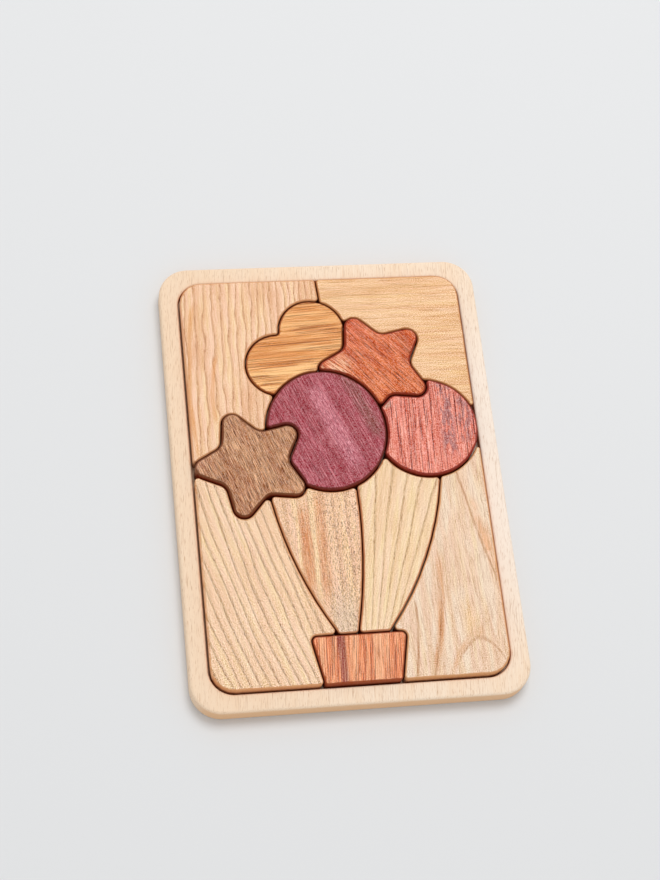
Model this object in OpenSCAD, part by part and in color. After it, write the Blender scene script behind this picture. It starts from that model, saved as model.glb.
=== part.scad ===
// Wooden tray puzzle: a shallow beech tray that holds twelve sawn pieces of different woods.
// Together the pieces show five balloons, two ribbon panels and a basket on a pale sky.
// The tray lies on its back: +Z points out of its face and +Y to the top of the picture.
// The origin is the centre of the tray's back. All sizes are in millimetres.

/* [Tray] */
// Width of the recess between its side walls
recess_w = 119.5; // [114:0.5:126]
// Length of the recess from its foot to its top
recess_l = 177.5; // [168:0.5:196]
// Thickness of the frame board, which is the depth of the recess
frame_t = 5; // [4:0.25:7]
// Thickness of the board glued to the back of the frame
base_t = 3; // [2.5:0.25:5]
// Width of the four rails round the recess
rail_w = 7.5; // [6.5:0.1:14]
// Radius of the recess corners
recess_corner_r = 10; // [6:0.25:14]
// Radius of the tray's outer corners
tray_corner_r = 12.5; // [8:0.25:16]
// Roundover along the outer edge of the face
face_round = 1.4; // [0.6:0.1:2.5]
// Roundover along the outer edge of the back
back_round = 1; // [0.5:0.1:2]
// Small roundover where the recess meets the face
lip_round = 1; // [0.3:0.1:1]

/* [Saw cut] */
// Width of the saw cut between two pieces
kerf = 0.5; // [0.4:0.05:0.7]
// Clearance between a piece and the recess wall
wall_gap = 0.7; // [0.5:0.05:0.9]
// Corner radius where two cuts meet
corner_round = 1.5; // [1.4:0.05:1.8]
// Corner radius of the slender points beside the recess walls
point_round = 1; // [0.95:0.05:1.2]

/* [Pieces] */
// Thickness of the sky, ribbon, heart and basket pieces
piece_t = 7.5; // [6:0.25:12]
// How far the stars, the oval and the disc stand above the other pieces
raised_step = 1.2; // [0.4:0.1:2.5]
// Sanded roundover on the upper edges of the lower pieces
edge_round = 0.9; // [0.4:0.05:0.9]
// Sanded roundover on the upper edges of the raised pieces
raised_round = 1.2; // [0.8:0.05:1.3]
// Narrow bevel on the lower edges of every piece
foot_bevel = 0.4; // [0.2:0.05:0.6]

/* [Oval balloon] */
// Width of the oval balloon
oval_w = 49.6; // [46:0.2:53]
// Length of the oval balloon
oval_l = 53.4; // [50:0.2:58]
// Lean of the oval's long axis, counter-clockwise
oval_lean = 8; // [0:1:20]
// Place of the oval's centre to the right of the recess centre
oval_x = -3.7; // [-6:0.1:-2]
// Place of the oval's centre above the recess centre
oval_y = 18.3; // [14:0.1:20]

/* [Star balloons] */
// Reach of a star from its centre to a rounded tip
star_reach = 23.7; // [22.5:0.1:25.5]
// Distance from a star's centre to a rounded waist
star_waist = 15.3; // [14:0.1:16]
// Radius of a star's tips
star_tip_r = 4.4; // [3.5:0.1:5]
// Radius of a star's waists
star_waist_r = 5; // [4:0.1:6]
// Bearing of a star's first tip
star_turn = 38.6; // [34:0.2:43]
// Gap between the walnut star's left tip and the recess wall
star_wall_gap = 0.85; // [0.6:0.05:1.2]
// Drop of the walnut star's centre below the centre of the oval
walnut_star_drop = 13.3; // [11:0.1:16]
// Place of the orange star's centre to the right of the oval's
orange_star_right = 23.2; // [22:0.1:26]
// Place of the orange star's centre above the oval's
orange_star_rise = 28.3; // [27:0.1:31]

/* [Heart balloon] */
// Radius of the heart's two lobes
heart_lobe_r = 13.9; // [13:0.1:15]
// Distance between the centres of the lobes
heart_lobe_span = 21.4; // [19.5:0.1:23]
// Distance from the line of the lobes to the centre of the rounded tip
heart_depth = 27; // [24:0.1:30]
// Radius of the notch between the lobes
heart_notch_r = 1.4; // [1.2:0.1:2.5]
// Radius of the tip
heart_tip_r = 2; // [1:0.1:4]
// Turn of the heart, counter-clockwise
heart_turn = 45; // [40:0.5:50]
// Place of the middle of the lobes to the left of the oval's centre
heart_left = 9.1; // [7:0.1:11]
// Place of the middle of the lobes above the oval's centre
heart_rise = 38.1; // [36:0.1:40]

/* [Disc balloon] */
// How far the disc's outline runs under the oval
disc_lap = 5.1; // [3:0.1:8]
// How much of the disc the right wall of the recess cuts away
disc_flat = 0.35; // [0.3:0.05:1.5]
// Drop of the disc's centre below the centre of the oval
disc_drop = 0.8; // [-2:0.1:3]

/* [Basket and seams] */
// Width of the basket along its rim
basket_w = 38.6; // [34:0.2:46]
// Width of the basket at the foot of the recess
basket_foot_w = 30.6; // [26:0.2:38]
// Height of the basket
basket_h = 20.5; // [16:0.1:26]
// Radius of the basket's upper corners
basket_corner_r = 2.3; // [2:0.1:4]
// Head of the left ribbon seam to the right of the walnut star's centre
left_head = 5.2; // [2:0.1:7]
// Head of the middle ribbon seam to the right of the oval's centre
middle_head = 9.4; // [5:0.1:12]
// Head of the right ribbon seam to the right of the disc's centre
right_head = 4; // [-2:0.1:7]
// Foot of the left ribbon seam to the right of the basket's middle
left_foot = -4.6; // [-8:0.1:-3]
// Foot of the middle ribbon seam to the right of the basket's middle
middle_foot = -1.3; // [-2:0.1:2]
// Foot of the right ribbon seam to the right of the basket's middle
right_foot = 8.4; // [6:0.1:13]
// How far the left ribbon seam bows to the left
left_bow = 4.1; // [2:0.1:6]
// How far the middle ribbon seam bows to the right
middle_bow = 2.9; // [1:0.1:5]
// How far the right ribbon seam bows to the right
right_bow = 6; // [1:0.1:8]
// Head of the top seam to the right of the recess centre
top_head = -1.7; // [-5:0.1:2]
// Foot of the top seam to the right of the recess centre
top_foot = -0.2; // [-4:0.1:3]

/* [Hidden] */
$fn = 64;

tray_w = recess_w + 2 * rail_w;
tray_l = recess_l + 2 * rail_w;
half_kerf = kerf / 2;
raised_t = piece_t + raised_step;

// Steps along a whole oval or disc, a lobe, a tip, a waist, a corner, a long seam and a roundover
round_steps = 60;
lobe_steps = 18;
tip_steps = 7;
waist_steps = 4;
corner_steps = 5;
seam_steps = 10;
roundover_steps = 3;

// Places that follow from the sizes above
oval_c = [oval_x, oval_y];
walnut_star_c = [star_reach + star_wall_gap - recess_w / 2, oval_y - walnut_star_drop];
orange_star_c = oval_c + [orange_star_right, orange_star_rise];
heart_c = oval_c + [-heart_left, heart_rise];
disc_left = oval_x + oval_w / 2 - disc_lap;
disc_r = (recess_w / 2 - wall_gap + disc_flat - disc_left) / 2;
disc_c = [disc_left + disc_r, oval_y - disc_drop];
rim_y = basket_h - recess_l / 2;
// How far a seam that ends on a piece or a wall is drawn on into it, so that the two cross
overrun = 5;

// Point at radius r and bearing a
function polar(r, a) = r * [cos(a), sin(a)];

// Bearing of a vector
function bearing(v) = atan2(v.y, v.x);

// Point turned about the origin
function turned(p, a) = [p.x * cos(a) - p.y * sin(a), p.x * sin(a) + p.y * cos(a)];

// Points along an arc about c, in n steps
function arc(c, r, from, to, n) = [for (i = [0:n]) c + polar(r, from + (to - from) * i / n)];

// A list without its ends, which the arcs on both sides already hold
function inner(list) = [for (i = [1:len(list) - 2]) list[i]];

// Seams. Each is a ring of points, walked counter-clockwise, or downwards if it is a single line.
// grow draws it parallel to itself, to the right of the walk, which is outwards on a closed seam.

// Star with round tips and waists. A flank touches the circle of a tip and the circle of a waist
// from opposite sides, so its bearing follows from their centres and the sum of their radii.
function star_line(c, grow) =
    let (
        tip = polar(star_reach - star_tip_r, 0),
        waist = polar(star_waist + star_waist_r, 36),
        flank = bearing(waist - tip) - acos((star_tip_r + star_waist_r) / norm(waist - tip))
    )
    [for (k = [0:4]) let (a = star_turn + 72 * k)
        each concat(
            arc(c + turned(tip, a), star_tip_r + grow, a - flank, a + flank, tip_steps),
            arc(c + turned(waist, a), star_waist_r - grow, a + flank + 180, a + 252 - flank, waist_steps)
        )];

// Ellipse, moved outwards along its own normals
function oval_line(grow) =
    [for (i = [0:round_steps - 1])
        let (
            a = 360 * i / round_steps,
            normal = [oval_l * cos(a), oval_w * sin(a)],
            p = [oval_w / 2 * cos(a), oval_l / 2 * sin(a)] + grow * normal / norm(normal)
        )
        oval_c + turned(p, oval_lean)];

function disc_line(grow) = [for (i = [0:round_steps - 1]) disc_c + polar(disc_r + grow, 360 * i / round_steps)];

// Heart: round tip, straight flank, right lobe, notch, left lobe and the other straight flank
function heart_line(grow) =
    let (
        lobe = [heart_lobe_span / 2, 0],
        tip = [0, -heart_depth],
        notch = [0, sqrt(pow(heart_lobe_r + heart_notch_r, 2) - pow(lobe.x, 2))],
        flank = bearing(lobe - tip) - acos((heart_tip_r - heart_lobe_r) / norm(lobe - tip)),
        inward = bearing(notch + lobe),
        outline = concat(
            arc(tip, heart_tip_r + grow, -180 - flank, flank, corner_steps),
            arc(lobe, heart_lobe_r + grow, flank, 180 - inward, lobe_steps),
            inner(arc(notch, heart_notch_r - grow, -inward, inward - 180, corner_steps)),
            arc(-lobe, heart_lobe_r + grow, inward, 180 - flank, lobe_steps)
        )
    )
    [for (p = outline) heart_c + turned(p, heart_turn)];

// Recess wall, set in so that a piece beside it keeps the wall gap
function wall_line(grow) =
    let (
        reach = [recess_w / 2 - recess_corner_r, recess_l / 2 - recess_corner_r],
        r = recess_corner_r - wall_gap + half_kerf + grow
    )
    [for (k = [0:3]) let (side = [k == 0 || k == 3 ? 1 : -1, k < 2 ? 1 : -1])
        each arc([side.x * reach.x, side.y * reach.y], r, 90 * k, 90 * k + 90, corner_steps)];

// Basket: a tapered box with round upper corners, drawn on past the foot of the recess
function rim_line(grow) =
    let (
        taper = (basket_w - basket_foot_w) / 2 / basket_h,
        lean = atan(taper),
        corner = [
            basket_w / 2 - basket_corner_r * (1 / cos(lean) + taper),
            rim_y - basket_corner_r
        ],
        foot = [basket_foot_w / 2 - taper * overrun + grow / cos(lean), -recess_l / 2 - overrun]
    )
    concat(
        [[-foot.x, foot.y], foot],
        arc(corner, basket_corner_r + grow, -lean, 90, corner_steps),
        arc([-corner.x, corner.y], basket_corner_r + grow, 90, 180 + lean, corner_steps)
    );

// Ribbon seam: an arc from a head to a foot under the basket's rim; a positive bow swells to the right
function ribbon_line(head, foot_x, bow, grow) =
    let (
        foot = [foot_x, rim_y - overrun],
        chord = foot - head,
        r = abs(bow) / 2 + norm(chord) * norm(chord) / abs(bow) / 8,
        c = (head + foot) / 2 + sign(bow) * (r - abs(bow)) * [chord.y, -chord.x] / norm(chord),
        from = bearing(head - c),
        sweep = bearing(foot - c) - from
    )
    arc(c, r - sign(bow) * grow, from, from + sweep - 360 * round(sweep / 360), seam_steps);

// Straight seam from above the recess wall down into the heart
function top_line(grow) =
    let (
        head = [top_head, recess_l / 2 + overrun],
        foot = [top_foot, heart_c.y + heart_lobe_r],
        aside = grow * [foot.y - head.y, head.x - foot.x] / norm(foot - head)
    )
    [head + aside, foot + aside];

walnut_star = function (grow) star_line(walnut_star_c, grow);
orange_star = function (grow) star_line(orange_star_c, grow);
oval = function (grow) oval_line(grow);
disc = function (grow) disc_line(grow);
heart = function (grow) heart_line(grow);
wall = function (grow) wall_line(grow);
rim = function (grow) rim_line(grow);
top_seam = function (grow) top_line(grow);
left_seam = function (grow)
    ribbon_line(walnut_star_c + [left_head, -star_waist + overrun], left_foot, -left_bow, grow);
middle_seam = function (grow)
    ribbon_line(oval_c + [middle_head, -oval_l / 2 + 1.5 * overrun], middle_foot, middle_bow, grow);
right_seam = function (grow)
    ribbon_line(disc_c + [right_head, -disc_r + overrun], right_foot, right_bow, grow);

// Pieces. The walk round a piece is counter-clockwise: along a seam that the piece lies inside,
// and against a seam that it lies outside. Each edge is [seam, way, radius of the corner at its end].
along = 1;
against = -1;

function corner_radius(edge) = is_undef(edge[2]) ? corner_round : edge[2];

// The edge's own line, half a saw cut and a further inset away from the seam
function edge_line(edge, inset) = edge[0](-edge[1] * (half_kerf + inset));

function cross_size(a, b) = a.x * b.y - a.y * b.x;

// Where ring a crosses ring b so that the walk turns left: [place on a, place on b, point]
function meeting(a, a_way, b, b_way) =
    [for (i = [0:len(a) - 1]) let (r = a[(i + 1) % len(a)] - a[i])
        for (j = [0:len(b) - 1])
            let (
                s = b[(j + 1) % len(b)] - b[j],
                turn = cross_size(r, s),
                t = cross_size(b[j] - a[i], s) / turn,
                u = cross_size(b[j] - a[i], r) / turn
            )
            if (turn * a_way * b_way > 0 && t >= 0 && t < 1 && u >= 0 && u < 1)
                [i + t, j + u, a[i] + t * r]
    ][0];

// Point at a place on a ring, where 2.5 is halfway between points 2 and 3
function at_place(line, place) =
    let (i = floor(place), n = len(line))
    line[i % n] + (place - i) * (line[(i + 1) % n] - line[i % n]);

// Rounded corner from one edge to the next: [place left, place joined, centre, first bearing, sweep, radius].
// Its centre lies where the two edges, each set in by the corner's radius, cross.
function corner(edge, next) =
    let (
        r = corner_radius(edge),
        hit = meeting(edge_line(edge, r), edge[1], edge_line(next, r), next[1]),
        from = bearing(at_place(edge_line(edge, 0), hit[0]) - hit[2]),
        to = bearing(at_place(edge_line(next, 0), hit[1]) - hit[2])
    )
    [hit[0], hit[1], hit[2], from, to < from ? to - from + 360 : to - from, r];

// Points of a ring strictly between two places, in the order of the walk
function stretch(line, from, to, way) =
    let (
        n = len(line),
        spare = 0.3,
        goal = way * (to - from) > 0 ? to : to + way * n,
        first = way > 0 ? ceil(from + spare) : floor(from - spare),
        last = way > 0 ? floor(goal - spare) : ceil(goal + spare)
    )
    [for (i = [first:way:last]) line[(i + n) % n]];

// Outline of a piece, set in by inset
function outline(edges, corners, inset) =
    len(edges) == 1
        ? edge_line(edges[0], inset)
        : [for (k = [0:len(edges) - 1])
            let (start = corners[(k + len(edges) - 1) % len(edges)], end = corners[k])
            each concat(
                stretch(edge_line(edges[k], inset), start[1], end[0], edges[k][1]),
                arc(end[2], end[5] - inset, end[3], end[3] + end[4], 1 + ceil(end[4] / 40))
            )];

// Whether corner k of a loop can be cut off as a triangle that holds no other point of the loop
function is_ear(loop, ids, k) =
    let (
        n = len(ids),
        ear = [ids[(k + n - 1) % n], ids[k], ids[(k + 1) % n]],
        a = loop[ear[0]],
        b = loop[ear[1]],
        c = loop[ear[2]]
    )
    cross_size(b - a, c - b) > 0.0001
        && len([for (i = ids) let (p = loop[i])
            if (len(search(i, ear)) == 0 && cross_size(b - a, p - a) > -0.0001
                && cross_size(c - b, p - b) > -0.0001 && cross_size(a - c, p - c) > -0.0001) i]) == 0;

function next_ear(loop, ids, k) = is_ear(loop, ids, k) ? k : next_ear(loop, ids, (k + 1) % len(ids));

// Flat face inside a loop, as triangles that are cut off its corners one by one
function triangles(loop, ids, from = 0, done = []) =
    len(ids) == 3
        ? concat(done, [ids])
        : let (n = len(ids), k = next_ear(loop, ids, from % n))
            triangles(
                loop,
                [for (i = [0:n - 1]) if (i != k) ids[i]],
                k + 1,
                concat(done, [[ids[(k + n - 1) % n], ids[k], ids[(k + 1) % n]]])
            );

// Sawn piece: its outline carried up from a bevelled foot to a sanded upper edge
module piece(edges, t, upper_round) {
    last_edge = len(edges) - 1;
    corners = last_edge == 0 ? [] : [for (k = [0:last_edge]) corner(edges[k], edges[(k + 1) % len(edges)])];
    rings = concat(
        [[foot_bevel, 0], [0, foot_bevel]],
        [for (i = [0:roundover_steps]) let (a = 90 * i / roundover_steps)
            [upper_round * (1 - cos(a)), t - upper_round * (1 - sin(a))]]
    );
    loops = [for (ring = rings) outline(edges, corners, ring[0])];
    n = len(loops[0]);
    top = len(rings) - 1;
    points = [for (k = [0:top]) for (p = loops[k]) [p.x, p.y, base_t + rings[k][1]]];
    sides = [for (k = [0:top - 1], i = [0:n - 1])
        let (j = (i + 1) % n)
        [k * n + i, (k + 1) * n + i, (k + 1) * n + j, k * n + j]];
    foot = triangles(loops[0], [for (i = [0:n - 1]) i]);
    face = [for (f = triangles(loops[top], [for (i = [0:n - 1]) i])) [for (i = [2:-1:0]) top * n + f[i]]];
    polyhedron(points, concat(foot, sides, face));
}

// Solid with four round corners. Its child is a profile drawn outwards from a corner's centre,
// which is carried along each side and turned round each corner, and a block fills the middle.
module round_cornered(w, l, corner, low, high) {
    span = [w - 2 * corner, l - 2 * corner];
    translate([-span.x / 2, -span.y / 2, low])
        cube([span.x, span.y, high - low]);
    for (k = [0:3]) {
        side = k % 2 == 0 ? span : [span.y, span.x];
        rotate(90 * k)
            translate([side.x / 2, side.y / 2, 0]) {
                rotate([90, 0, 0])
                    linear_extrude(side.y)
                        children();
                rotate_extrude(angle = 90)
                    children();
            }
    }
}

// What a roundover takes off the upper right corner of a profile
module roundover_cut(r) {
    translate([-r, -r])
        difference() {
            square(2 * r);
            circle(r);
            translate([-r, -r])
                square([r, 4 * r]);
            translate([-r, -r])
                square([4 * r, r]);
        }
}

module tray_base() {
    color("burlywood")
        round_cornered(tray_w, tray_l, tray_corner_r, 0, base_t)
            difference() {
                square([tray_corner_r, base_t]);
                translate([tray_corner_r, 0])
                    mirror([0, 1])
                        roundover_cut(back_round);
            }
}

module tray_frame() {
    color("wheat")
        translate([0, 0, base_t])
            difference() {
                round_cornered(tray_w, tray_l, tray_corner_r, 0, frame_t)
                    difference() {
                        square([tray_corner_r, frame_t]);
                        translate([tray_corner_r, frame_t])
                            roundover_cut(face_round);
                    }
                round_cornered(recess_w, recess_l, recess_corner_r, -frame_t, 2 * frame_t)
                    union() {
                        translate([0, -frame_t])
                            square([recess_corner_r, 3 * frame_t]);
                        translate([recess_corner_r, frame_t])
                            mirror([1, 0])
                                roundover_cut(lip_round);
                    }
            }
}

module sky_top_left() {
    color("navajowhite")
        piece([[wall, along, point_round], [walnut_star, against], [oval, against], [heart, against],
            [top_seam, against]], piece_t, edge_round);
}

module sky_top_right() {
    color("moccasin")
        piece([[wall, along], [top_seam, along], [heart, against], [orange_star, against],
            [disc, against, point_round]], piece_t, edge_round);
}

module sky_bottom_left() {
    color("bisque")
        piece([[wall, along], [rim, against], [left_seam, against], [walnut_star, against]], piece_t, edge_round);
}

module sky_bottom_right() {
    color("antiquewhite")
        piece([[wall, along, point_round], [disc, against], [right_seam, along], [rim, against]],
            piece_t, edge_round);
}

module heart_balloon() {
    color("sandybrown")
        piece([[heart, along], [oval, against], [orange_star, against]], piece_t, edge_round);
}

module orange_star_balloon() {
    color("coral")
        piece([[orange_star, along], [oval, against]], raised_t, raised_round);
}

module walnut_star_balloon() {
    color("rosybrown")
        piece([[walnut_star, along]], raised_t, raised_round);
}

module purple_oval_balloon() {
    color("palevioletred")
        piece([[oval, along], [walnut_star, against]], raised_t, raised_round);
}

module red_round_balloon() {
    color("salmon")
        piece([[disc, along], [wall, along], [disc, along], [orange_star, against], [oval, against]],
            raised_t, raised_round);
}

module left_ribbon_panel() {
    color("peachpuff")
        piece([[left_seam, along], [rim, against], [middle_seam, against], [oval, against],
            [walnut_star, against]], piece_t, edge_round);
}

module right_ribbon_panel() {
    color("papayawhip")
        piece([[middle_seam, along], [rim, against], [right_seam, against], [disc, against], [oval, against]],
            piece_t, edge_round);
}

module basket() {
    color("darksalmon")
        piece([[rim, along], [wall, along]], piece_t, edge_round);
}

tray_frame();
tray_base();
sky_top_left();
sky_top_right();
sky_bottom_left();
sky_bottom_right();
heart_balloon();
orange_star_balloon();
walnut_star_balloon();
purple_oval_balloon();
red_round_balloon();
left_ribbon_panel();
right_ribbon_panel();
basket();
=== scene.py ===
# %% [markdown]
# # A wooden tray puzzle
#
# Twelve sawn pieces of different woods lie in a shallow beech tray. Together they show five
# balloons over a basket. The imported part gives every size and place, so this script only
# reads it, gives each piece the soft edges and the figure of its own wood, and lights it.

from math import radians

import bpy
import numpy as np
from mathutils import Matrix, Vector


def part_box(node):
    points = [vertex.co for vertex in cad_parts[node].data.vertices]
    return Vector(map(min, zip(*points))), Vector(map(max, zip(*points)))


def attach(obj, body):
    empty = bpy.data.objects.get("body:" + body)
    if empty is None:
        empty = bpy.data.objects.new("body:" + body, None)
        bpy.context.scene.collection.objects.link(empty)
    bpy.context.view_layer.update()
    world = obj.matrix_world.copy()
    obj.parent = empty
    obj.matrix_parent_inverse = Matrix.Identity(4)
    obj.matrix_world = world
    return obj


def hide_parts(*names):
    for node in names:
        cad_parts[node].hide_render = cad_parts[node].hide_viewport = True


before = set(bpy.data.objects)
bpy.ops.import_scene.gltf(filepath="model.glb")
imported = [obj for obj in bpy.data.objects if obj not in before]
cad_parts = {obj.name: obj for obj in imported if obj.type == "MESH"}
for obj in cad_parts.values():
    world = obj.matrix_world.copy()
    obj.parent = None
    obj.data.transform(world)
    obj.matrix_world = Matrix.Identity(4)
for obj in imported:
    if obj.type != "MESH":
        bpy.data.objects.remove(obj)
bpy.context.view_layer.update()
METRE = 1000.0  # millimetres; lengths below are in millimetres
print("nodes:", sorted(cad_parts))

# %% [markdown]
# ## The camera
#
# The photograph looks down on the tray from its lower left, with a little roll. The place and
# the three axes below were solved from the straight edges of the tray and of its recess, so
# the render can be laid over the photograph. A look-at target would lose the roll, so the axes
# are given as they are.

# %% Camera
CAMERA_PLACE = Vector((-121.4, -281.81, 702.7)) / METRE
CAMERA_RIGHT = Vector((0.98667, -0.10528, 0.12413))
CAMERA_UP = Vector((0.04745, 0.91554, 0.39941))
CAMERA_LENS = 76.66
CAMERA_SENSOR = 36.0  # along the long side of the picture


def new_object(name, data):
    """A new object in the scene, at the origin."""
    made = bpy.data.objects.new(name, data)
    bpy.context.scene.collection.objects.link(made)
    return made


back = CAMERA_RIGHT.cross(CAMERA_UP).normalized()
view_axes = Matrix((CAMERA_RIGHT, back.cross(CAMERA_RIGHT).normalized(), back)).transposed()
camera = new_object("camera", bpy.data.cameras.new("camera"))
camera.matrix_world = Matrix.Translation(CAMERA_PLACE) @ view_axes.to_4x4()
camera.data.lens = CAMERA_LENS
camera.data.sensor_width = CAMERA_SENSOR
bpy.context.scene.camera = camera
print("camera looks along", [round(c, 3) for c in -back])

# %% [markdown]
# ## A mesh from rings
#
# Every piece of this puzzle is a stack of closed rings: the foot, the wall and the rounded edge.
# A bevel modifier could round the edge, but it gives every edge the same radius. A stack of rings
# keeps full control of it, and numpy joins all neighbouring rings to quads in one step.

# %% Rings to a mesh
SHARP_EDGE = radians(32)
EDGE_STEPS = 10


def ringed_mesh(name, rings, hollow=False):
    """Joins rings, an array of (ring, point, xyz) in millimetres, to a closed mesh.

    Point j of ring i joins point j + 1 and the same points of ring i + 1. Each ring runs
    counter-clockwise seen from above, and the stack runs up the outside. A hollow piece joins
    its last ring to its first, and any other has its two ends filled.
    """
    count, points = rings.shape[:2]
    index = np.arange(count * points).reshape(count, points)
    lower = index if hollow else index[:-1]
    upper = np.roll(index, -1, axis=0) if hollow else index[1:]
    quads = np.stack([lower, np.roll(lower, -1, 1), np.roll(upper, -1, 1), upper], axis=-1)
    corners = quads.reshape(-1)
    starts = np.arange(0, corners.size, 4)
    smooth = np.ones(starts.size, bool)
    if not hollow:
        starts = np.append(starts, [corners.size, corners.size + points])
        corners = np.concatenate([corners, index[0, ::-1], index[-1]])
        smooth = np.append(smooth, [False, False])
    mesh = bpy.data.meshes.new(name)
    mesh.vertices.add(index.size)
    mesh.vertices.foreach_set("co", (rings / METRE).astype(np.float32).reshape(-1))
    mesh.loops.add(corners.size)
    mesh.loops.foreach_set("vertex_index", corners.astype(np.int32))
    mesh.polygons.add(starts.size)
    mesh.polygons.foreach_set("loop_start", starts.astype(np.int32))
    mesh.polygons.foreach_set("use_smooth", smooth)
    mesh.update(calc_edges=True)
    mesh.set_sharp_from_angle(angle=SHARP_EDGE)
    return new_object(name, mesh)


def quarter_round(steps):
    """The quarter circle of a rounded edge: how far in and how far up, from 0 to 1."""
    turn = np.linspace(0, np.pi / 2, steps + 1)
    return 1 - np.cos(turn), np.sin(turn)


round_in, round_up = quarter_round(EDGE_STEPS)
print(f"a rounded edge has {len(round_in)} rings")

# %% [markdown]
# ## The sawn pieces
#
# A real piece is cut on a scroll saw and its upper edge is sanded round by hand. The saw line
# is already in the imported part, as the ring at the top of the piece's wall. It could be written
# here a second time, but two copies can drift apart. So the ring is read back from the part,
# made finer and smoother than the part needs, and a new edge is carried along it.

# %% The saw line of a piece
MICRON = 1000  # in a millimetre
POINT_STEP = 0.3
LINE_SOFTNESS = 0.45


def wall_ring(node):
    """The ring at the top of a node's wall, as (n, 2), with the node's four key heights.

    The heights are the foot, the top of the foot's bevel, the top of the wall and the top. The
    triangles of the wall have an edge on the wanted ring, which runs clockwise, so each edge
    gives the point before its first one. Following that rule in steps that double in length
    puts the whole ring in order.
    """
    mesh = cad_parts[node].data
    place = np.empty(len(mesh.vertices) * 3)
    mesh.vertices.foreach_get("co", place)
    corner = np.empty(len(mesh.loops), int)
    mesh.loops.foreach_get("vertex_index", corner)
    microns = np.rint(place.reshape(-1, 3) * METRE * MICRON).astype(int)
    points, same = np.unique(microns, axis=0, return_inverse=True)
    triangles = same.reshape(-1)[corner].reshape(-1, 3)
    levels = np.unique(points[:, 2])
    height = np.searchsorted(levels, points[:, 2])[triangles]
    wall = triangles[np.isin(height, [1, 2]).all(axis=1)]
    edges = np.concatenate([wall, np.roll(wall, -1, axis=1)]).reshape(2, -1).T
    edges = edges[(points[edges, 2] == levels[2]).all(axis=1) & (edges[:, 0] != edges[:, 1])]
    follows = np.arange(len(points))
    follows[edges[:, 1]] = edges[:, 0]
    order = edges[:1, 0]
    while len(order) < len(edges):
        order = np.concatenate([order, follows[order]])
        follows = follows[follows]
    ring = points[order[: len(edges)], :2] / MICRON
    return ring, levels[[0, 1, 2, -1]] / MICRON


def soft_line(ring, step, softness):
    """Spreads points evenly along a closed ring and rounds its small corners.

    The points go through a low-pass filter 1 - (1 - g)^2, where g is a Gaussian of the given
    softness, which takes the corners off and hardly shrinks the curves.
    """
    closed = np.vstack([ring, ring[:1]])
    along = np.append(0, np.cumsum(np.hypot(*np.diff(closed, axis=0).T)))
    count = int(along[-1] / step)
    place = np.linspace(0, along[-1], count, endpoint=False)
    even = np.stack([np.interp(place, along, axis) for axis in closed.T], -1)
    waves = 2 * np.pi * np.fft.rfftfreq(count, along[-1] / count)
    gauss = np.exp(-((waves * softness) ** 2) / 2)
    keep = (1 - (1 - gauss) ** 2)[:, None]
    return np.fft.irfft(np.fft.rfft(even, axis=0) * keep, count, axis=0)


# %% [markdown]
# The edge is where the hand shows. Its radius swells and shrinks a little along the piece, and
# it gets smaller round a point, as it does under a sanding block.

# %% Sawn pieces
HAND_WAVES = 5
FIRST_WAVE = 2
WAVE_STEP = 4
HAND_SHARE = 0.18
POINT_SHARE = 0.45


def sanded(count, seed):
    """A slow wave along the edge that stands for the hand: a few sines that close on themselves."""
    chance = np.random.default_rng(seed)
    turn = np.linspace(0, 2 * np.pi, count, endpoint=False)[:, None]
    waves = FIRST_WAVE + WAVE_STEP * np.arange(HAND_WAVES)
    sines = np.sin(turn * waves + chance.uniform(0, 2 * np.pi, HAND_WAVES))
    return 1 + HAND_SHARE * sines.mean(axis=1)


def sawn_piece(node, seed):
    """A sawn piece: its saw line, moved in by the bevel at the foot and by the round at the top.

    Where the line bends outwards, the round's radius r becomes r / (1 + POINT_SHARE * r * bend).
    """
    ring, (foot, bevel_top, wall_top, top) = wall_ring(node)
    line = soft_line(ring, POINT_STEP, LINE_SOFTNESS)
    tangent = np.roll(line, -1, axis=0) - np.roll(line, 1, axis=0)
    length = np.hypot(*tangent.T)[:, None]
    tangent = tangent / length
    inward = np.stack([-tangent[:, 1], tangent[:, 0]], axis=-1)
    bend = np.roll(tangent, -1, axis=0) - np.roll(tangent, 1, axis=0)
    bend = (bend * inward).sum(axis=1) / length[:, 0]
    radius = (top - wall_top) * sanded(len(line), seed)
    radius = radius / (1 + POINT_SHARE * radius * np.clip(bend, 0, None))
    inset = np.vstack([np.full(len(line), bevel_top - foot), np.outer(np.r_[0, round_in], radius)])
    level = np.vstack([np.full(len(line), foot), np.full(len(line), bevel_top)])
    level = np.vstack([level, top - np.outer(1 - round_up, radius)])
    flat = line + inset[:, :, None] * inward
    piece = ringed_mesh(node + "_wood", np.concatenate([flat, level[:, :, None]], axis=-1))
    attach(piece, node)
    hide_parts(node)
    print(f"{node}: {len(line)} points round, top at {top:.1f} mm")
    return piece


tray_nodes = ["tray_frame", "tray_base"]
piece_nodes = [n for n in sorted(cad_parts) if n not in tray_nodes]
pieces = {node: sawn_piece(node, seed) for seed, node in enumerate(piece_nodes)}

# %% [markdown]
# ## The tray
#
# The tray is two boards glued together: a frame with the recess cut through it, and a base.
# A boolean could cut the recess, but it leaves long thin faces at the rounded edges. Both boards
# follow the same rounded rectangle, so their rings come from one formula instead, and the corner
# radius shrinks or grows with the ring, as a router bit leaves it.

# %% Rings of the tray
CORNER_STEPS = 18
RECESS_CORNER = 10.0
TRAY_CORNER = 12.5
RECESS_LENGTH = 177.5

base_low, base_high = [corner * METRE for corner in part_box("tray_base")]
frame_low, frame_high = [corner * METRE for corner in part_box("tray_frame")]
tray_width, tray_length = (frame_high - frame_low)[:2]
rail = (tray_length - RECESS_LENGTH) / 2
recess_width = tray_width - 2 * rail


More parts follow.
